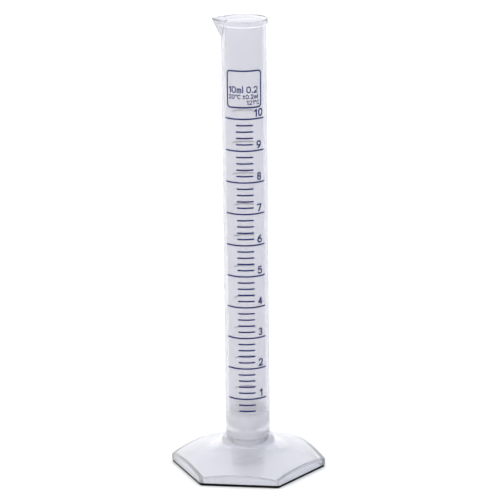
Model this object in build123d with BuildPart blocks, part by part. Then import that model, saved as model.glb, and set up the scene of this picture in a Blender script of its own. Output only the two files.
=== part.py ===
# Graduated measuring cylinder, 10 ml, tall form: a polypropylene tube with a rim bead and a pouring
# spout, pushed by its spigot into a domed hexagonal foot, with a blue scale printed on the wall.
#
# Frame: +Z up, the table at z = 0, the origin on the tube's axis. One flat of the foot faces -Y,
# the spout points to -X over a corner of the foot. All lengths are in millimetres.
# Print angles are in degrees, measured from -Y towards +X.

from build123d import *
import math
import os

os.makedirs("parts", exist_ok=True)

# ---------------------------------------------------------------- driving dimensions
# tube
capacity_ml = 10
bore_radius = 5.7
tube_wall = 1.2
headroom = 29.43            # from the top line of the scale to the crest of the rim
zero_height = 13.7          # where a flat-bottomed bore of the same volume would start
bead_overhang = 0.5         # rim bead, proud of the wall
bead_height = 1.6
lip_drop = 0.65             # the mouth slopes down from the crest of the rim to the bore

# spout
spout_reach = 2.75          # tip of the beak, beyond the tube's outside
spout_depth = 5.9
spout_half_angle = 36.0     # half the beak's width on the tube, at the rim
spout_wall = 0.8
spout_tip_radius = 1.1

# foot
foot_across_flats = 42.0
foot_lift = 0.7             # gap between the table and the side faces' lower edge
foot_corner_height = 1.9    # height of a side face at a corner
foot_dome_radius = 64.0
foot_neck_height = 10.5
foot_neck_spread = 7.0      # width of the hollow flare round the neck
foot_wall = 1.5
foot_corner_radius = 1.2
foot_crease_radius = 0.4
stand_inset = 0.25          # the standing rim, in from the side faces

# spigot below the tube and the socket that holds it
spigot_radius = 3.5
spigot_bottom = 1.6
spigot_shoulder = 7.6
spigot_core_radius = 1.9
spigot_core_top = 9.4
socket_gap = 0.05
socket_wall = 1.4

# print
ink = 0.04
line_width = 0.45
print_centre = 7.0
long_half_span = 55.0
short_half_span = 21.5
back_half_span = 33.0
back_turn = 187.5           # from the middle of the front arcs to the middle of the back arcs
lines_per_ml = 5
lowest_short_line = 3       # counted in fifths of a millilitre from zero
figure_turn = 38.0
figure_height = 2.45
figure_stroke = 0.44
figure_rise = 0.6           # foot of the figure above the middle of its line

# data panel
panel_width = 11.0
panel_height = 11.1
panel_rise = 3.55           # lower edge above the 10 ml line
panel_corner = 1.0
panel_margin = 0.6

# ---------------------------------------------------------------- derived dimensions
tube_radius = bore_radius + tube_wall
ml_pitch = 1000.0 / (math.pi * bore_radius**2)
total_height = zero_height + capacity_ml * ml_pitch + headroom
bore_round_top = zero_height + bore_radius * 2 / 3
bore_bottom = bore_round_top - bore_radius
bead_radius = tube_radius + bead_overhang
crest_radius = bead_radius - 0.35
bead_bottom = total_height - bead_height
foot_apothem = foot_across_flats / 2
foot_corner = foot_apothem / math.cos(math.pi / 6)
dome_edge = foot_corner + 1.5
inner_apothem = foot_apothem - foot_wall
socket_radius = spigot_radius + socket_gap
socket_mouth = tube_radius + socket_gap
deg_per_mm = 180 / (math.pi * tube_radius)
panel_half_span = panel_width / 2 * deg_per_mm
panel_bottom = zero_height + capacity_ml * ml_pitch + panel_rise
panel_top = panel_bottom + panel_height


def sphere_z(radius):
    """Height of the foot's shallow sphere, set by the height of the side faces at the corners."""
    return foot_lift + foot_corner_height + (foot_corner**2 - radius**2) / (2 * foot_dome_radius)


def dome_z(radius):
    """Height of the foot's upper surface: the sphere with a hollow flare up to the neck."""
    flare = max(0.0, (socket_mouth + foot_neck_spread - radius) / foot_neck_spread)
    return sphere_z(radius) + (foot_neck_height - sphere_z(socket_mouth)) * flare**2.2


def hollow_z(radius):
    """Height of the foot's underside: a wall below the sphere, half as much flare as the top."""
    reach = max(radius, socket_mouth)
    return sphere_z(reach) - foot_wall + 0.5 * (dome_z(reach) - sphere_z(reach))


def scale_z(millilitres):
    """Height of the line for a volume."""
    return zero_height + millilitres * ml_pitch


# ---------------------------------------------------------------- measuring tube
# One moulding. The wall is revolved, with the rim bead at the top and, below the rounded bottom of the
# bore, a cone and a cored spigot that the foot holds.
with BuildPart() as measuring_tube:
    with BuildSketch(Plane.XZ) as tube_section:
        with BuildLine():
            Polyline(
                (0, spigot_bottom),
                (spigot_radius - 0.3, spigot_bottom),
                (spigot_radius, spigot_bottom + 0.3),
                (spigot_radius, spigot_shoulder),
                (tube_radius, foot_neck_height),
                (tube_radius, bead_bottom - 0.3),
                (bead_radius - 0.06, bead_bottom + 0.15),
            )
            Spline(
                (bead_radius - 0.06, bead_bottom + 0.15),
                (bead_radius, bead_bottom + bead_height / 2),
                (crest_radius, total_height),
                tangents=((0.35, 1), (-1, 0)),
            )
            Spline(
                (crest_radius, total_height),
                (bore_radius, total_height - lip_drop),
                tangents=((-1, 0), (-0.45, -1)),
            )
            Line((bore_radius, total_height - lip_drop), (bore_radius, bore_round_top))
            RadiusArc((bore_radius, bore_round_top), (0, bore_bottom), bore_radius)
            Line((0, bore_bottom), (0, spigot_bottom))
        make_face()
    revolve(axis=Axis.Z)

    # beak of the spout: a wide section at the rim drawn down to a narrow one on the wall
    beak_z = total_height - 0.12
    with BuildSketch(Plane.XY.offset(beak_z)) as beak_top:
        with BuildLine():
            side_x = -tube_radius * math.cos(math.radians(spout_half_angle))
            side_y = tube_radius * math.sin(math.radians(spout_half_angle))
            Polyline(
                (-bore_radius - 0.4, 0),
                (side_x + 0.3, side_y - 0.2),
                (side_x, side_y),
                (-tube_radius - spout_reach, 0),
                (side_x, -side_y),
                (side_x + 0.3, -side_y + 0.2),
                close=True,
            )
        make_face()
        fillet(beak_top.vertices().sort_by(Axis.X)[0], spout_tip_radius)
    with BuildSketch(Plane.XY.offset(total_height - spout_depth)) as beak_foot:
        with BuildLine():
            low_x = -tube_radius * math.cos(math.radians(spout_half_angle / 3))
            low_y = tube_radius * math.sin(math.radians(spout_half_angle / 3))
            Polyline(
                (-bore_radius - 0.4, 0),
                (low_x + 0.45, low_y - 0.2),
                (low_x + 0.15, low_y),
                (-tube_radius - 0.02, 0),
                (low_x + 0.15, -low_y),
                (low_x + 0.45, -low_y + 0.2),
                close=True,
            )
        make_face()
        fillet(beak_foot.vertices().sort_by(Axis.X)[0], spout_tip_radius / 2)
    loft(ruled=True)

    # the channel inside the beak opens the wall from the rim downwards
    with BuildSketch(Plane.XY.offset(total_height + 0.5)) as channel_top:
        with BuildLine():
            side_x = -bore_radius * math.cos(math.radians(spout_half_angle - 4))
            side_y = bore_radius * math.sin(math.radians(spout_half_angle - 4))
            Polyline(
                (-bore_radius / 2, 0),
                (side_x + 0.5, side_y - 0.3),
                (side_x, side_y),
                (-tube_radius - spout_reach + spout_wall - 0.25, 0),
                (side_x, -side_y),
                (side_x + 0.5, -side_y + 0.3),
                close=True,
            )
        make_face()
        fillet(channel_top.vertices().sort_by(Axis.X)[0], spout_tip_radius / 2)
    with BuildSketch(Plane.XY.offset(total_height - spout_depth + 0.4)) as channel_foot:
        with BuildLine():
            low_x = -bore_radius * math.cos(math.radians(spout_half_angle / 3))
            low_y = bore_radius * math.sin(math.radians(spout_half_angle / 3))
            Polyline(
                (-bore_radius / 2, 0),
                (low_x + 0.5, low_y - 0.3),
                (low_x + 0.1, low_y),
                (-bore_radius - 0.02, 0),
                (low_x + 0.1, -low_y),
                (low_x + 0.5, -low_y + 0.3),
                close=True,
            )
        make_face()
        fillet(channel_foot.vertices().sort_by(Axis.X)[0], spout_tip_radius / 4)
    loft(ruled=True, mode=Mode.SUBTRACT)

    # core in the underside of the spigot
    with BuildSketch(Plane.XY.offset(spigot_bottom)):
        Circle(spigot_core_radius)
    extrude(amount=spigot_core_top - spigot_bottom, mode=Mode.SUBTRACT)
measuring_tube.part.label = "measuring_tube"
export_step(measuring_tube.part, "parts/measuring_tube.step")

# ---------------------------------------------------------------- hexagonal foot
# A thin-walled dome cut by six upright faces, on a standing rim set in from them. Under the neck a
# sleeve hangs down and holds the tube's spigot.
flare_edge = socket_mouth + foot_neck_spread
section_radii = [socket_mouth + foot_neck_spread * step / 6 for step in range(7)]
section_radii += [flare_edge + (dome_edge - flare_edge) * step / 4 for step in range(1, 5)]
sleeve_radius = socket_radius + socket_wall
shoulder_slope = (foot_neck_height - spigot_shoulder) / (tube_radius - spigot_radius)
socket_shoulder = spigot_shoulder + socket_gap * shoulder_slope

with BuildPart() as foot_hollow:
    with BuildSketch(Plane.XZ):
        with BuildLine():
            Polyline(
                (dome_edge, hollow_z(dome_edge)),
                (dome_edge, -1),
                (sleeve_radius, -1),
                (sleeve_radius, hollow_z(socket_mouth)),
                (socket_mouth, hollow_z(socket_mouth)),
            )
            Spline(*[(radius, hollow_z(radius)) for radius in section_radii])
        make_face()
    revolve(axis=Axis.Z)
    with BuildSketch(Plane.XY.offset(-1)) as hollow_outline:
        RegularPolygon(radius=inner_apothem, side_count=6, major_radius=False)
        fillet(hollow_outline.vertices(), foot_corner_radius / 2)
    extrude(amount=foot_neck_height + 5, mode=Mode.INTERSECT)

with BuildPart() as hexagonal_foot:
    with BuildSketch(Plane.XZ) as dome_section:
        with BuildLine():
            Polyline(
                (socket_mouth, foot_neck_height),
                (0, foot_neck_height),
                (0, foot_lift),
                (dome_edge, foot_lift),
                (dome_edge, dome_z(dome_edge)),
            )
            Spline(*[(radius, dome_z(radius)) for radius in section_radii])
        make_face()
    revolve(axis=Axis.Z)
    with BuildSketch(Plane.XY.offset(foot_lift)) as outline:
        RegularPolygon(radius=foot_apothem, side_count=6, major_radius=False)
        fillet(outline.vertices(), foot_corner_radius)
    extrude(amount=foot_neck_height + 5, mode=Mode.INTERSECT)

    # soften the crease between the dome and the side faces
    dome_face = hexagonal_foot.faces().filter_by(GeomType.PLANE, reverse=True).sort_by(SortBy.AREA)[-1]
    fillet(dome_face.outer_wire().edges(), foot_crease_radius)

    # standing rim
    with BuildSketch():
        RegularPolygon(radius=foot_apothem - stand_inset, side_count=6, major_radius=False)
    extrude(amount=foot_lift + foot_wall / 2)

    add(foot_hollow.part, mode=Mode.SUBTRACT)

    # the sleeve ends short of the table; its mouth is a cone that takes the tube's shoulder
    with BuildSketch(Plane.XY.offset(-1)):
        Circle(sleeve_radius)
    extrude(amount=spigot_bottom + 1.2, mode=Mode.SUBTRACT)
    with BuildSketch(Plane.XZ) as socket_section:
        with BuildLine():
            Polyline(
                (0, -1),
                (socket_radius, -1),
                (socket_radius, socket_shoulder),
                (tube_radius, foot_neck_height),
                (tube_radius, foot_neck_height + 1),
                (0, foot_neck_height + 1),
                close=True,
            )
        make_face()
    revolve(axis=Axis.Z, mode=Mode.SUBTRACT)
hexagonal_foot.part.label = "hexagonal_foot"
export_step(hexagonal_foot.part, "parts/hexagonal_foot.step")

# ---------------------------------------------------------------- the print
# Every mark is a film of ink on the outside of the wall. Lines are parts of a flat ring; figures and
# letters are pushed through the film from a plane that touches the wall at their own middle.
with BuildPart() as film:
    with BuildSketch():
        Circle(tube_radius + ink)
        Circle(tube_radius, mode=Mode.SUBTRACT)
    extrude(amount=total_height)


def arc_mark(middle, half_span, height):
    """Flat ring part of one line, standing at the lower edge of the line."""
    with BuildSketch(Plane.XY.offset(height - line_width / 2)) as mark:
        with BuildLine():
            start = middle - 90 - half_span
            inner = CenterArc((0, 0), tube_radius, start, 2 * half_span)
            outer = CenterArc((0, 0), tube_radius + ink, start, 2 * half_span)
            Line(inner @ 0, outer @ 0)
            Line(inner @ 1, outer @ 1)
        make_face()
    return mark.sketch


def wall_plane(angle, height):
    """Upright plane just inside the wall, facing outwards, its x axis to a reader's right."""
    turn = math.radians(angle)
    near = tube_radius - 0.5
    return Plane(
        origin=(near * math.sin(turn), -near * math.cos(turn), height),
        x_dir=(math.cos(turn), math.sin(turn), 0),
        z_dir=(math.sin(turn), -math.cos(turn), 0),
    )


# Centre lines of the figures and letters, drawn 1 high on y = 0: a straight stroke from point to point,
# a curved one by centre, radius, start angle and turn, or a ring by centre and radius.
strokes = {
    "0": [("bend", 0.31, 0.69, 0.31, 0, 180), ("bend", 0.31, 0.31, 0.31, 180, 180),
          ("bar", 0, 0.31, 0, 0.69), ("bar", 0.62, 0.31, 0.62, 0.69)],
    "1": [("bar", 0.28, 0, 0.28, 1), ("bar", 0, 0.74, 0.28, 1)],
    "2": [("bend", 0.31, 0.69, 0.31, 165, -205), ("bar", 0.547, 0.491, 0, 0), ("bar", 0, 0, 0.62, 0)],
    "3": [("bend", 0.3, 0.76, 0.24, 150, -240), ("bend", 0.3, 0.26, 0.26, 90, -240)],
    "4": [("bar", 0.45, 0, 0.45, 1), ("bar", 0.45, 1, 0, 0.3), ("bar", 0, 0.3, 0.62, 0.3)],
    "5": [("bar", 0.56, 1, 0.1, 1), ("bar", 0.1, 1, 0.05, 0.56), ("bend", 0.28, 0.33, 0.325, 135, -285)],
    "6": [("ring", 0.31, 0.31, 0.31), ("bend", 0.72, 0.31, 0.72, 180, -73)],
    "7": [("bar", 0, 1, 0.62, 1), ("bar", 0.62, 1, 0.2, 0)],
    "8": [("ring", 0.31, 0.76, 0.24), ("ring", 0.31, 0.26, 0.26)],
    "9": [("ring", 0.31, 0.69, 0.31), ("bend", -0.1, 0.69, 0.72, 0, -73)],
    "C": [("bend", 0.33, 0.67, 0.33, 30, 150), ("bar", 0, 0.33, 0, 0.67), ("bend", 0.33, 0.33, 0.33, 180, 150)],
    "m": [("bar", 0, 0, 0, 0.66), ("bend", 0.16, 0.5, 0.16, 180, -180), ("bar", 0.32, 0.5, 0.32, 0),
          ("bend", 0.48, 0.5, 0.16, 180, -180), ("bar", 0.64, 0.5, 0.64, 0)],
    "l": [("bar", 0, 0, 0, 1.05)],
    "°": [("ring", 0.15, 0.86, 0.14)],
    "±": [("bar", 0.25, 0.9, 0.25, 0.38), ("bar", 0, 0.64, 0.5, 0.64), ("bar", 0, 0.08, 0.5, 0.08)],
    ".": [("bar", 0, 0, 0, 0.04)],
}


def character(sign, height, stroke):
    """Outline of one figure or letter, standing on y = 0 with its left edge at x = 0."""
    size = height - stroke
    with BuildSketch() as shape:
        for kind, *values in strokes[sign]:
            if kind == "bar":
                x0, y0, x1, y1 = [value * size for value in values]
                with Locations(((x0 + x1) / 2, (y0 + y1) / 2 + stroke / 2)):
                    SlotCenterToCenter(
                        math.hypot(x1 - x0, y1 - y0),
                        stroke,
                        rotation=math.degrees(math.atan2(y1 - y0, x1 - x0)),
                    )
            else:
                x0, y0, radius = [value * size for value in values[:3]]
                if kind == "bend":
                    SlotArc(
                        CenterArc((x0, y0 + stroke / 2), radius, values[3], values[4], mode=Mode.PRIVATE),
                        stroke,
                    )
                else:
                    with Locations((x0, y0 + stroke / 2)):
                        Circle(radius + stroke / 2)
                        Circle(radius - stroke / 2, mode=Mode.SUBTRACT)
    return Pos(-shape.sketch.bounding_box().min.X, 0) * shape.sketch


def set_line(text, height, stroke, gap):
    """Characters of a line of text with their left edges, and the whole line's width."""
    placed = []
    pen = 0.0
    for sign in text:
        if sign == " ":
            pen += height * 0.35
            continue
        shape = character(sign, height, stroke)
        placed.append((pen, shape))
        pen += shape.bounding_box().size.X + gap
    return placed, pen - gap


# full millilitre lines: a long arc in front and a shorter one at the back
for number in range(1, capacity_ml + 1):
    with BuildPart() as ml_ring:
        extrude(to_extrude=arc_mark(print_centre, long_half_span, scale_z(number)), amount=line_width)
        back_middle = print_centre + back_turn
        extrude(to_extrude=arc_mark(back_middle, back_half_span, scale_z(number)), amount=line_width)
    ml_ring.part.label = f"ml_ring_{number:02d}"
    export_step(ml_ring.part, f"parts/ml_ring_{number:02d}.step")

# short lines between the full ones; the first millilitre starts above the rounded bottom
for number in range(1, capacity_ml + 1):
    with BuildPart() as fifth_lines:
        for step in range(1, lines_per_ml):
            fifths = (number - 1) * lines_per_ml + step
            if fifths >= lowest_short_line:
                line_height = scale_z(fifths / lines_per_ml)
                extrude(to_extrude=arc_mark(print_centre, short_half_span, line_height), amount=line_width)
    fifth_lines.part.label = f"fifth_lines_{number:02d}"
    export_step(fifth_lines.part, f"parts/fifth_lines_{number:02d}.step")

# figures, each centred above the right-hand end of its line
for number in range(1, capacity_ml + 1):
    letters, letters_width = set_line(str(number), figure_height, figure_stroke, 0.42)
    with BuildPart() as figure:
        for left, shape in letters:
            middle = left + shape.bounding_box().size.X / 2
            angle = print_centre + figure_turn + (middle - letters_width / 2) * deg_per_mm
            shifted = Pos(-shape.bounding_box().size.X / 2, 0) * shape
            stand = wall_plane(angle, scale_z(number) + figure_rise)
            extrude(to_extrude=stand * shifted, amount=1.0, dir=stand.z_dir)
        add(film.part, mode=Mode.INTERSECT)
    figure.part.label = f"figure_{number:02d}"
    export_step(figure.part, f"parts/figure_{number:02d}.step")

# outline of the data panel
with BuildPart() as panel_frame:
    corner_turn = panel_corner * deg_per_mm
    for height in (panel_bottom, panel_top):
        extrude(to_extrude=arc_mark(print_centre, panel_half_span - corner_turn, height), amount=line_width)
    for side in (-1, 1):
        edge = wall_plane(print_centre + side * panel_half_span, (panel_bottom + panel_top) / 2)
        with BuildSketch(edge) as upright:
            Rectangle(line_width, panel_height - 2 * panel_corner)
        extrude(amount=1.0)
        for end in (-1, 1):
            centre_height = (panel_bottom + panel_top) / 2 + end * (panel_height / 2 - panel_corner)
            turn = wall_plane(print_centre + side * (panel_half_span - corner_turn), centre_height)
            with BuildSketch(turn) as quarter:
                Circle(panel_corner + line_width / 2)
                Circle(panel_corner - line_width / 2, mode=Mode.SUBTRACT)
                with Locations((side * panel_corner, end * panel_corner)):
                    Rectangle(2 * panel_corner, 2 * panel_corner, mode=Mode.INTERSECT)
            extrude(amount=1.0)
    add(film.part, mode=Mode.INTERSECT)
panel_frame.part.label = "panel_frame"
export_step(panel_frame.part, "parts/panel_frame.step")

# lines of text in the lower part of the panel: name, text, letter height, stroke, baseline, side
panel_lines = [
    ("panel_capacity", "10ml 0.2", 2.05, 0.32, 4.4, -1),
    ("panel_tolerance", "20°C ±0.2ml", 1.36, 0.22, 2.6, -1),
    ("panel_temperature", "121°C", 1.36, 0.22, 0.8, 1),
]
for name, text, letter_height, letter_stroke, baseline, side in panel_lines:
    letters, letters_width = set_line(text, letter_height, letter_stroke, letter_stroke * 0.75)
    room = panel_width - 2 * panel_margin
    start = -room / 2 if side < 0 else room / 2 - letters_width
    with BuildPart() as text_line:
        for left, shape in letters:
            middle = start + left + shape.bounding_box().size.X / 2
            shifted = Pos(-shape.bounding_box().size.X / 2, 0) * shape
            stand = wall_plane(print_centre + middle * deg_per_mm, panel_bottom + baseline)
            extrude(to_extrude=stand * shifted, amount=1.0, dir=stand.z_dir)
        add(film.part, mode=Mode.INTERSECT)
    text_line.part.label = name
    export_step(text_line.part, f"parts/{name}.step")
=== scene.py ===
import math

import bmesh
import bpy
from mathutils import Matrix, Vector


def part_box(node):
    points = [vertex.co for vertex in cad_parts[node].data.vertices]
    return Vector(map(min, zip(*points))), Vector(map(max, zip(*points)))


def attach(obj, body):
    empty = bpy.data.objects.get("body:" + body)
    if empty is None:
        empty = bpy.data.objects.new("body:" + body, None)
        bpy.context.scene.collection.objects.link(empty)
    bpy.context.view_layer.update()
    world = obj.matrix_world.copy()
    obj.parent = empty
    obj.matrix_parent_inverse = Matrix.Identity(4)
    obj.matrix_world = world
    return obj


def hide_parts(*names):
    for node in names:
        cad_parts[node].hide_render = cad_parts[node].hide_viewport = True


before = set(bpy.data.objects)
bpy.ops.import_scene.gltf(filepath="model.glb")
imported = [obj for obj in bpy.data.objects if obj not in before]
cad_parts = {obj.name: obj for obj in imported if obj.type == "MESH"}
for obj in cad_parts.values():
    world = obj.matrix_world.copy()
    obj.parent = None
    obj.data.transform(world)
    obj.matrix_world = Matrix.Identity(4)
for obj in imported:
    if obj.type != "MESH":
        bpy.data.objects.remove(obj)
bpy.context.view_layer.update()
MM = 0.001

# ---------------------------------------------------------------- measuring tube
# One injection moulding in natural polypropylene: a plain wall with a round-bottomed bore, a bead and a
# pouring beak at the rim, and a cored spigot below, which is pushed into the foot's socket.
RIM_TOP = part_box("measuring_tube")[1].z
BORE_RADIUS = 5.7 * MM
TUBE_RADIUS = 6.9 * MM
ROUND_TOP = 17.5 * MM
BEAD_RADIUS = 7.4 * MM
BEAD_HEIGHT = 1.6 * MM
CREST_RADIUS = 7.05 * MM
LIP_DROP = 0.65 * MM
SPIGOT_RADIUS = 3.5 * MM
SPIGOT_BOTTOM = 1.6 * MM
SPIGOT_SHOULDER = 7.6 * MM
CONE_TOP = 10.5 * MM
CORE_RADIUS = 1.9 * MM
CORE_TOP = 9.4 * MM
BEAK_REACH = 2.75 * MM
BEAK_DEPTH = 5.9 * MM
BEAK_WALL = 0.8 * MM
BEAK_TIP_RADIUS = 1.1 * MM
BEAK_HALF_ANGLE = math.radians(36)
BEAD_FOOT = RIM_TOP - BEAD_HEIGHT - 0.3 * MM


def turned(profile, steps, closed=False):
    """Spins a profile of (radius, height) points full circle round the axis."""
    mesh = bmesh.new()
    row = [mesh.verts.new((radius, 0, height)) for radius, height in profile]
    edges = [mesh.edges.new(pair) for pair in zip(row, row[1:])]
    if closed:
        edges.append(mesh.edges.new((row[-1], row[0])))
    bmesh.ops.spin(
        mesh,
        geom=row + edges,
        cent=(0, 0, 0),
        axis=(0, 0, 1),
        angle=2 * math.pi,
        steps=steps,
        use_merge=True,
    )
    bmesh.ops.remove_doubles(mesh, verts=mesh.verts, dist=0.0005 * MM)
    return mesh


def rounded(mesh, radius, height, width, segments=4):
    """Rounds the ring of edges that lies at one radius and height."""
    ring = []
    for edge in mesh.edges:
        ends = [(math.hypot(end.co.x, end.co.y), end.co.z) for end in edge.verts]
        if all(abs(r - radius) < 0.01 * MM and abs(z - height) < 0.01 * MM for r, z in ends):
            ring.append(edge)
    bmesh.ops.bevel(
        mesh,
        geom=ring,
        offset=width,
        offset_type="OFFSET",
        affect="EDGES",
        segments=segments,
        profile=0.5,
        material=-1,
        clamp_overlap=True,
    )


def finished(mesh, name, *materials):
    """Makes a piece of a finished mesh: faces outwards, shaded smooth, with its crisp edges kept."""
    bmesh.ops.recalc_face_normals(mesh, faces=mesh.faces)
    for face in mesh.faces:
        face.smooth = True
    for edge in mesh.edges:
        edge.smooth = not edge.is_manifold or edge.calc_face_angle() < math.radians(38)
    data = bpy.data.meshes.new(name)
    mesh.to_mesh(data)
    mesh.free()
    for material in materials:
        data.materials.append(material)
    piece = bpy.data.objects.new(name, data)
    bpy.context.scene.collection.objects.link(piece)
    return piece


def linear(code):
    """An sRGB hex colour as the linear colour that a shader takes."""
    parts = [int(code[at : at + 2], 16) / 255 for at in (1, 3, 5)]
    return (*(p / 12.92 if p <= 0.04045 else ((p + 0.055) / 1.055) ** 2.4 for p in parts), 1.0)


def add_node(tree, kind, sockets=None, **settings):
    """Adds one node with its settings, its sockets' values and the links into it."""
    added = tree.nodes.new(kind)
    for key, value in settings.items():
        setattr(added, key, value)
    for key, value in (sockets or {}).items():
        if isinstance(value, bpy.types.NodeSocket):
            tree.links.new(value, added.inputs[key])
        else:
            added.inputs[key].default_value = value
    return added


def beak_distance(turn, root_radius, root_turn, tip, tip_radius):
    """Distance from the axis to a beak's outline: straight flanks from the wall to a rounded tip."""
    if turn >= root_turn:
        return root_radius
    centre = tip - tip_radius
    root = Vector((root_radius * math.cos(root_turn), root_radius * math.sin(root_turn)))
    along = Vector((centre, 0)) - root
    normal = math.atan2(along.y, along.x) + math.asin(min(1, tip_radius / along.length)) + math.pi / 2
    touch = Vector((centre + tip_radius * math.cos(normal), tip_radius * math.sin(normal)))
    if turn < math.atan2(touch.y, touch.x):
        across = centre * math.sin(turn)
        return centre * math.cos(turn) + math.sqrt(max(0, tip_radius**2 - across**2))
    return (root.x * math.cos(normal) + root.y * math.sin(normal)) / math.cos(turn - normal)


tube_profile = [
    (0, CORE_TOP),
    (CORE_RADIUS, CORE_TOP),
    (CORE_RADIUS, SPIGOT_BOTTOM),
    (SPIGOT_RADIUS, SPIGOT_BOTTOM),
    (SPIGOT_RADIUS, SPIGOT_SHOULDER),
    (TUBE_RADIUS, CONE_TOP),
]
tube_profile += [(TUBE_RADIUS, CONE_TOP + 12 * MM * step) for step in range(1, 11)]
tube_profile += [(TUBE_RADIUS, BEAD_FOOT - 4.4 * MM + 0.4 * MM * step) for step in range(12)]
tube_profile += [
    (BEAD_RADIUS, RIM_TOP - BEAD_HEIGHT + 0.2 * MM),
    (BEAD_RADIUS, RIM_TOP - 0.32 * MM),
    (CREST_RADIUS, RIM_TOP),
    (6.4 * MM, RIM_TOP - 0.26 * MM),
    (BORE_RADIUS, RIM_TOP - LIP_DROP),
]
tube_profile += [(BORE_RADIUS, RIM_TOP - LIP_DROP - 0.4 * MM * step) for step in range(1, 15)]
tube_profile += [(BORE_RADIUS, ROUND_TOP + 11.5 * MM * step) for step in range(10, -1, -1)]
for step in range(1, 13):
    bend = math.radians(7.5 * step)
    tube_profile.append((BORE_RADIUS * math.cos(bend), ROUND_TOP - BORE_RADIUS * math.sin(bend)))

tube_mesh = turned(tube_profile, 288)
rounded(tube_mesh, CORE_RADIUS, CORE_TOP, 0.3 * MM)
rounded(tube_mesh, SPIGOT_RADIUS, SPIGOT_BOTTOM, 0.3 * MM)
rounded(tube_mesh, SPIGOT_RADIUS, SPIGOT_SHOULDER, 0.5 * MM)
rounded(tube_mesh, TUBE_RADIUS, CONE_TOP, 0.08 * MM, 2)
rounded(tube_mesh, BEAD_RADIUS, RIM_TOP - BEAD_HEIGHT + 0.2 * MM, 0.34 * MM)
rounded(tube_mesh, BEAD_RADIUS, RIM_TOP - 0.32 * MM, 0.2 * MM)
rounded(tube_mesh, CREST_RADIUS, RIM_TOP, 0.16 * MM, 5)
rounded(tube_mesh, BORE_RADIUS, RIM_TOP - LIP_DROP, 0.2 * MM)

# the beak is drawn out of the warm rim: bore and outside move out together, more and more towards the
# rim, and the bead runs out on its flanks
for corner in tube_mesh.verts:
    reach = math.hypot(corner.co.x, corner.co.y)
    share = (corner.co.z - RIM_TOP + BEAK_DEPTH) / BEAK_DEPTH
    if share <= 0 or reach < BORE_RADIUS - 0.1 * MM:
        continue
    turn = abs(math.atan2(corner.co.y, -corner.co.x))
    root_turn = BEAK_HALF_ANGLE * (0.3 + 0.7 * share)
    outside = beak_distance(
        turn, TUBE_RADIUS, root_turn, TUBE_RADIUS + BEAK_REACH * share, BEAK_TIP_RADIUS
    )
    inside = beak_distance(
        turn,
        BORE_RADIUS,
        root_turn * 0.92,
        BORE_RADIUS + (BEAK_REACH + TUBE_RADIUS - BEAK_WALL - BORE_RADIUS) * share,
        BEAK_TIP_RADIUS * 0.5,
    )
    outside = max(outside, TUBE_RADIUS)
    inside = max(inside, BORE_RADIUS)
    through = min(1, max(0, (reach - BORE_RADIUS) / (TUBE_RADIUS - BORE_RADIUS)))
    bead = max(0, reach - TUBE_RADIUS) * max(0, 1 - 1.6 * (outside - TUBE_RADIUS) / BEAK_REACH)
    drawn = (inside + (outside - inside) * through + bead) / reach
    corner.co.x *= drawn
    corner.co.y *= drawn

# Natural polypropylene off a polished pin and cavity: clear enough to show the print of the far side,
# with a slight milky haze, a faint lilac cast, slow clouding from uneven cooling and fine flow lines up the
# wall. The thick plastic below the bore is milkier than the wall.
MILKY_UP_TO = 16 * MM
CLEAR_FROM = 20.5 * MM
tube_plastic = bpy.data.materials.new("natural_polypropylene_tube")
tube_plastic.use_nodes = True
tree = tube_plastic.node_tree
tree.nodes.clear()
place = add_node(tree, "ShaderNodeTexCoord")
height = add_node(tree, "ShaderNodeSeparateXYZ", {"Vector": place.outputs["Object"]})
drawn_up = add_node(
    tree, "ShaderNodeMapping", {"Vector": place.outputs["Object"], "Scale": (1.0, 1.0, 0.06)}
)
clouding = add_node(
    tree,
    "ShaderNodeTexNoise",
    {"Vector": place.outputs["Object"], "Scale": 1 / (9 * MM), "Detail": 3.0, "Roughness": 0.5},
)
flow_lines = add_node(
    tree,
    "ShaderNodeTexNoise",
    {"Vector": drawn_up.outputs["Vector"], "Scale": 1 / (1.4 * MM), "Detail": 2.0, "Roughness": 0.5},
)
cast = add_node(
    tree,
    "ShaderNodeMix",
    {0: clouding.outputs["Fac"], 6: linear("#e2e2e8"), 7: linear("#e9e8ec")},
    data_type="RGBA",
)
haze = add_node(
    tree,
    "ShaderNodeMapRange",
    {"Value": clouding.outputs["Fac"], "To Min": 0.06, "To Max": 0.14},
)
ripple = add_node(
    tree,
    "ShaderNodeBump",
    {"Height": flow_lines.outputs["Fac"], "Strength": 0.3, "Distance": 0.02 * MM},
)
clearness = add_node(
    tree,
    "ShaderNodeMapRange",
    {
        "Value": height.outputs["Z"],
        "From Min": MILKY_UP_TO,
        "From Max": CLEAR_FROM,
        "To Min": 0.5,
        "To Max": 0.82,
    },
    interpolation_type="SMOOTHSTEP",
)
skin = add_node(
    tree,
    "ShaderNodeBsdfPrincipled",
    {
        "Base Color": cast.outputs[2],
        "Roughness": haze.outputs["Result"],
        "Normal": ripple.outputs["Normal"],
        "Transmission Weight": clearness.outputs["Result"],
        "IOR": 1.49,
    },
)
add_node(tree, "ShaderNodeOutputMaterial", {"Surface": skin.outputs["BSDF"]})

tube = finished(tube_mesh, "tube_moulding", tube_plastic)
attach(tube, "root")
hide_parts("measuring_tube")

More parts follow.
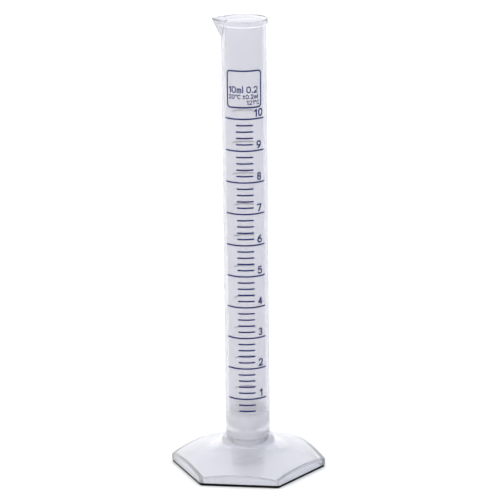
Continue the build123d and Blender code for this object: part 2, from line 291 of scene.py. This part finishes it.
# ---------------------------------------------------------------- hexagonal foot
# A second polypropylene moulding: a thin dome trimmed by six upright faces, hollow underneath and
# standing on a low rim. Its neck and the sleeve under it grip the tube's spigot.
FOOT_APOTHEM = 21.0 * MM
FOOT_CORNER = FOOT_APOTHEM / math.cos(math.pi / 6)
FOOT_CORNER_RADIUS = 1.2 * MM
FOOT_LIFT = 0.7 * MM
FOOT_CORNER_HEIGHT = 1.9 * MM
FOOT_WALL = 1.5 * MM
DOME_RADIUS = 64.0 * MM
NECK_RADIUS = 6.95 * MM
NECK_HEIGHT = 10.5 * MM
NECK_SPREAD = 7.0 * MM
CREASE_RADIUS = 0.4 * MM
STAND_INSET = 0.25 * MM
# top of the band of painted contact shade on the foot's side faces
SHADE_PAINT_TOP = FOOT_LIFT + 0.22 * MM
RIM_CHAMFER = 0.15 * MM
SLEEVE_RADIUS = 4.95 * MM
SOCKET_RADIUS = SPIGOT_RADIUS + 0.05 * MM
SLEEVE_BOTTOM = 1.8 * MM


def sphere_height(reach):
    """Height of the plain dome, before it sweeps up to the neck."""
    return FOOT_LIFT + FOOT_CORNER_HEIGHT + (FOOT_CORNER**2 - reach**2) / (2 * DOME_RADIUS)


def dome_height(reach):
    """Height of the foot's upper face: a shallow dome that sweeps up to the neck."""
    sweep = max(0, (NECK_RADIUS + NECK_SPREAD - reach) / NECK_SPREAD) ** 2.2
    return sphere_height(reach) + (NECK_HEIGHT - sphere_height(NECK_RADIUS)) * sweep


def hollow_height(reach):
    """Height of the hollow's ceiling, which follows the dome and thickens under the neck."""
    reach = max(reach, NECK_RADIUS)
    return sphere_height(reach) - FOOT_WALL + 0.5 * (dome_height(reach) - sphere_height(reach))


def hexagon_distance(turn):
    """Distance from the axis to the foot's six-sided outline with its rounded corners."""
    turn = abs((turn + math.pi / 6) % (math.pi / 3) - math.pi / 6)
    centre = (FOOT_APOTHEM - FOOT_CORNER_RADIUS) / math.cos(math.pi / 6)
    touch = Vector((centre + FOOT_CORNER_RADIUS * math.cos(math.pi / 6), FOOT_CORNER_RADIUS * 0.5))
    if turn < math.atan2(touch.y, touch.x):
        across = centre * math.sin(turn)
        return centre * math.cos(turn) + math.sqrt(FOOT_CORNER_RADIUS**2 - across**2)
    return FOOT_APOTHEM / math.cos(math.pi / 6 - turn)


# the section through the middle of a flat, from the neck outwards, down, and back under the hollow
dome_edge = FOOT_APOTHEM - CREASE_RADIUS
foot_profile = [(NECK_RADIUS, NECK_HEIGHT - 0.04 * MM)]
for step in range(1, 29):
    reach = NECK_RADIUS + (dome_edge - NECK_RADIUS) * step / 28
    foot_profile.append((reach, dome_height(reach)))
crease_height = dome_height(dome_edge) - CREASE_RADIUS
for step in range(1, 6):
    bend = math.radians(20 + 14 * step)
    foot_profile.append(
        (dome_edge + CREASE_RADIUS * math.sin(bend), crease_height + CREASE_RADIUS * math.cos(bend))
    )
foot_profile += [
    (FOOT_APOTHEM, FOOT_LIFT + 1.0 * MM),
    (FOOT_APOTHEM, SHADE_PAINT_TOP),
    (FOOT_APOTHEM, FOOT_LIFT + RIM_CHAMFER),
    (FOOT_APOTHEM - RIM_CHAMFER, FOOT_LIFT),
    (FOOT_APOTHEM - STAND_INSET, FOOT_LIFT),
    (FOOT_APOTHEM - STAND_INSET, RIM_CHAMFER),
    (FOOT_APOTHEM - STAND_INSET - RIM_CHAMFER, 0),
    (FOOT_APOTHEM - FOOT_WALL + 0.1 * MM, 0),
    (FOOT_APOTHEM - FOOT_WALL, 0.1 * MM),
    (FOOT_APOTHEM - FOOT_WALL, FOOT_LIFT + 1.0 * MM),
]
hollow_edge = FOOT_APOTHEM - FOOT_WALL
for step in range(0, 25):
    reach = hollow_edge + (SLEEVE_RADIUS - hollow_edge) * step / 24
    foot_profile.append((reach, hollow_height(reach)))
foot_profile += [
    (SLEEVE_RADIUS, SLEEVE_BOTTOM + 0.2 * MM),
    (SLEEVE_RADIUS - 0.2 * MM, SLEEVE_BOTTOM),
    (SOCKET_RADIUS + 0.2 * MM, SLEEVE_BOTTOM),
    (SOCKET_RADIUS, SLEEVE_BOTTOM + 0.2 * MM),
    (SOCKET_RADIUS, SPIGOT_SHOULDER),
]
foot_mesh = turned(foot_profile, 288, closed=True)

# the round blank is drawn out to the hexagon, with its spokes gathered at the six corners
for corner in foot_mesh.verts:
    reach = math.hypot(corner.co.x, corner.co.y)
    turn = math.atan2(corner.co.y, corner.co.x)
    turn -= 0.1 * math.sin(6 * turn)
    drawn = reach
    if reach > NECK_RADIUS:
        pull = (hexagon_distance(turn) - NECK_RADIUS) / (FOOT_APOTHEM - NECK_RADIUS)
        drawn = NECK_RADIUS + (reach - NECK_RADIUS) * pull
    if corner.co.z > hollow_height(reach) + FOOT_WALL / 2:
        corner.co.z += dome_height(drawn) - dome_height(reach)
    elif corner.co.z > FOOT_LIFT + 1.2 * MM:
        corner.co.z += hollow_height(drawn) - hollow_height(reach)
    corner.co.x = drawn * math.cos(turn)
    corner.co.y = drawn * math.sin(turn)

# The foot's polypropylene is thicker and a little milkier than the tube's, off a fine satin tool.
foot_plastic = bpy.data.materials.new("natural_polypropylene_foot")
foot_plastic.use_nodes = True
tree = foot_plastic.node_tree
tree.nodes.clear()
place = add_node(tree, "ShaderNodeTexCoord")
clouding = add_node(
    tree,
    "ShaderNodeTexNoise",
    {"Vector": place.outputs["Object"], "Scale": 1 / (11 * MM), "Detail": 3.0, "Roughness": 0.5},
)
satin = add_node(
    tree,
    "ShaderNodeTexNoise",
    {"Vector": place.outputs["Object"], "Scale": 1 / (0.6 * MM), "Detail": 2.0, "Roughness": 0.6},
)
cast = add_node(
    tree,
    "ShaderNodeMix",
    {0: clouding.outputs["Fac"], 6: linear("#f6f7ff"), 7: linear("#fbfbff")},
    data_type="RGBA",
)
haze = add_node(
    tree,
    "ShaderNodeMapRange",
    {"Value": clouding.outputs["Fac"], "To Min": 0.12, "To Max": 0.2},
)
grain = add_node(
    tree,
    "ShaderNodeBump",
    {"Height": satin.outputs["Fac"], "Strength": 0.2, "Distance": 0.01 * MM},
)
skin = add_node(
    tree,
    "ShaderNodeBsdfPrincipled",
    {
        "Base Color": cast.outputs[2],
        "Roughness": haze.outputs["Result"],
        "Normal": grain.outputs["Normal"],
        "IOR": 1.49,
        "Transmission Weight": 0.77,
    },
)
add_node(tree, "ShaderNodeOutputMaterial", {"Surface": skin.outputs["BSDF"]})

# Painted contact shade: the standing rim, the underside over it and the side faces' lowest band are painted
# almost black, matt, with paler mottle.
contact_shade_paint = bpy.data.materials.new("painted_contact_shade_rim")
contact_shade_paint.use_nodes = True
tree = contact_shade_paint.node_tree
tree.nodes.clear()
place = add_node(tree, "ShaderNodeTexCoord")
shade_mottle = add_node(
    tree,
    "ShaderNodeTexNoise",
    {"Vector": place.outputs["Object"], "Scale": 1 / (1.5 * MM), "Detail": 4.0, "Roughness": 0.6},
)
painted_shade = add_node(
    tree,
    "ShaderNodeMix",
    {0: shade_mottle.outputs["Fac"], 6: linear("#040406"), 7: linear("#121214")},
    data_type="RGBA",
)
skin = add_node(
    tree,
    "ShaderNodeBsdfPrincipled",
    {"Base Color": painted_shade.outputs[2], "Roughness": 0.9, "Specular IOR Level": 0.1},
)
add_node(tree, "ShaderNodeOutputMaterial", {"Surface": skin.outputs["BSDF"]})
# the faces at the very bottom of the foot take the painted contact shade, standing in for the shade under
# the foot
for face in foot_mesh.faces:
    if max(corner.co.z for corner in face.verts) < SHADE_PAINT_TOP + 0.01 * MM:
        face.material_index = 1

foot = finished(foot_mesh, "foot_moulding", foot_plastic, contact_shade_paint)
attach(foot, "root")
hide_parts("hexagonal_foot")

# ---------------------------------------------------------------- printed scale and panel
# The rings, short lines, figures and the framed panel are one screen print on the wall: a film of dark
# blue two-part ink about 0.04 mm thick, matt, a little thinner at places where the mesh laid down less.
print_ink = bpy.data.materials.new("screen_printed_blue_ink")
print_ink.use_nodes = True
tree = print_ink.node_tree
tree.nodes.clear()
place = add_node(tree, "ShaderNodeTexCoord")
laid_down = add_node(
    tree,
    "ShaderNodeTexNoise",
    {"Vector": place.outputs["Object"], "Scale": 1 / (1.2 * MM), "Detail": 2.0, "Roughness": 0.6},
)
screen_mesh = add_node(
    tree,
    "ShaderNodeTexNoise",
    {"Vector": place.outputs["Object"], "Scale": 1 / (0.12 * MM), "Detail": 1.0, "Roughness": 0.5},
)
ink_colour = add_node(
    tree,
    "ShaderNodeMix",
    {0: laid_down.outputs["Fac"], 6: linear("#040b44"), 7: linear("#0c1a62")},
    data_type="RGBA",
)
ink_sheen = add_node(
    tree,
    "ShaderNodeMapRange",
    {"Value": laid_down.outputs["Fac"], "To Min": 0.45, "To Max": 0.6},
)
ink_tooth = add_node(
    tree,
    "ShaderNodeBump",
    {"Height": screen_mesh.outputs["Fac"], "Strength": 0.3, "Distance": 0.01 * MM},
)
skin = add_node(
    tree,
    "ShaderNodeBsdfPrincipled",
    {
        "Base Color": ink_colour.outputs[2],
        "Roughness": ink_sheen.outputs["Result"],
        "Normal": ink_tooth.outputs["Normal"],
        "IOR": 1.5,
        "Specular IOR Level": 0.2,
    },
)
add_node(tree, "ShaderNodeOutputMaterial", {"Surface": skin.outputs["BSDF"]})

for name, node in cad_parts.items():
    if name.startswith(("ml_ring", "fifth_lines", "figure", "panel")):
        node.data.materials.clear()
        node.data.materials.append(print_ink)

# ---------------------------------------------------------------- floor, light and camera
# A plain matt white table top. All the light is soft and comes from white surroundings that are dimmer and
# cooler on the right, so there are no lamps. The floor is exposed to plain white.
FLOOR_SIZE = 12.0

floor_mesh = bmesh.new()
bmesh.ops.create_grid(floor_mesh, x_segments=1, y_segments=1, size=FLOOR_SIZE / 2)
floor_paint = bpy.data.materials.new("matt_white_table")
floor_paint.use_nodes = True
tree = floor_paint.node_tree
tree.nodes.clear()
place = add_node(tree, "ShaderNodeTexCoord")
mottle = add_node(tree, "ShaderNodeTexNoise", {"Vector": place.outputs["Object"], "Scale": 8.0})
white = add_node(
    tree,
    "ShaderNodeMix",
    {0: mottle.outputs["Fac"], 6: linear("#f4f4f4"), 7: linear("#f8f8f8")},
    data_type="RGBA",
)
skin = add_node(tree, "ShaderNodeBsdfPrincipled", {"Base Color": white.outputs[2], "Roughness": 0.9})
add_node(tree, "ShaderNodeOutputMaterial", {"Surface": skin.outputs["BSDF"]})
floor = finished(floor_mesh, "table_top", floor_paint)

surroundings = bpy.data.worlds.new("soft_white_room")
bpy.context.scene.world = surroundings
surroundings.use_nodes = True
tree = surroundings.node_tree
tree.nodes.clear()
place = add_node(tree, "ShaderNodeTexCoord")
across = add_node(tree, "ShaderNodeSeparateXYZ", {"Vector": place.outputs["Generated"]})
to_right = add_node(
    tree,
    "ShaderNodeMapRange",
    {"Value": across.outputs["X"], "From Min": 0.5, "From Max": 1.0},
    interpolation_type="SMOOTHSTEP",
)
sides = add_node(
    tree,
    "ShaderNodeMix",
    {0: to_right.outputs["Result"], 6: linear("#ffffff"), 7: linear("#8aa6c8")},
    data_type="RGBA",
)
glow = add_node(tree, "ShaderNodeBackground", {"Color": sides.outputs[2], "Strength": 1.45})
add_node(tree, "ShaderNodeOutputWorld", {"Surface": glow.outputs["Background"]})

camera_data = bpy.data.cameras.new("camera")
camera_data.lens = 194.85
camera_data.sensor_width = 36.0
camera_data.clip_start = 0.05
camera_data.clip_end = 30.0
camera = bpy.data.objects.new("camera", camera_data)
camera.matrix_world = (
    Matrix.Translation((0.106539, -0.787626, 0.293063))
    @ Matrix.Rotation(math.radians(7.615), 4, "Z")
    @ Matrix.Rotation(math.radians(90 - 15.728), 4, "X")
    @ Matrix.Rotation(math.radians(-0.608), 4, "Z")
)
bpy.context.scene.collection.objects.link(camera)
bpy.context.scene.camera = camera
bpy.context.scene.view_settings.view_transform = "Standard"
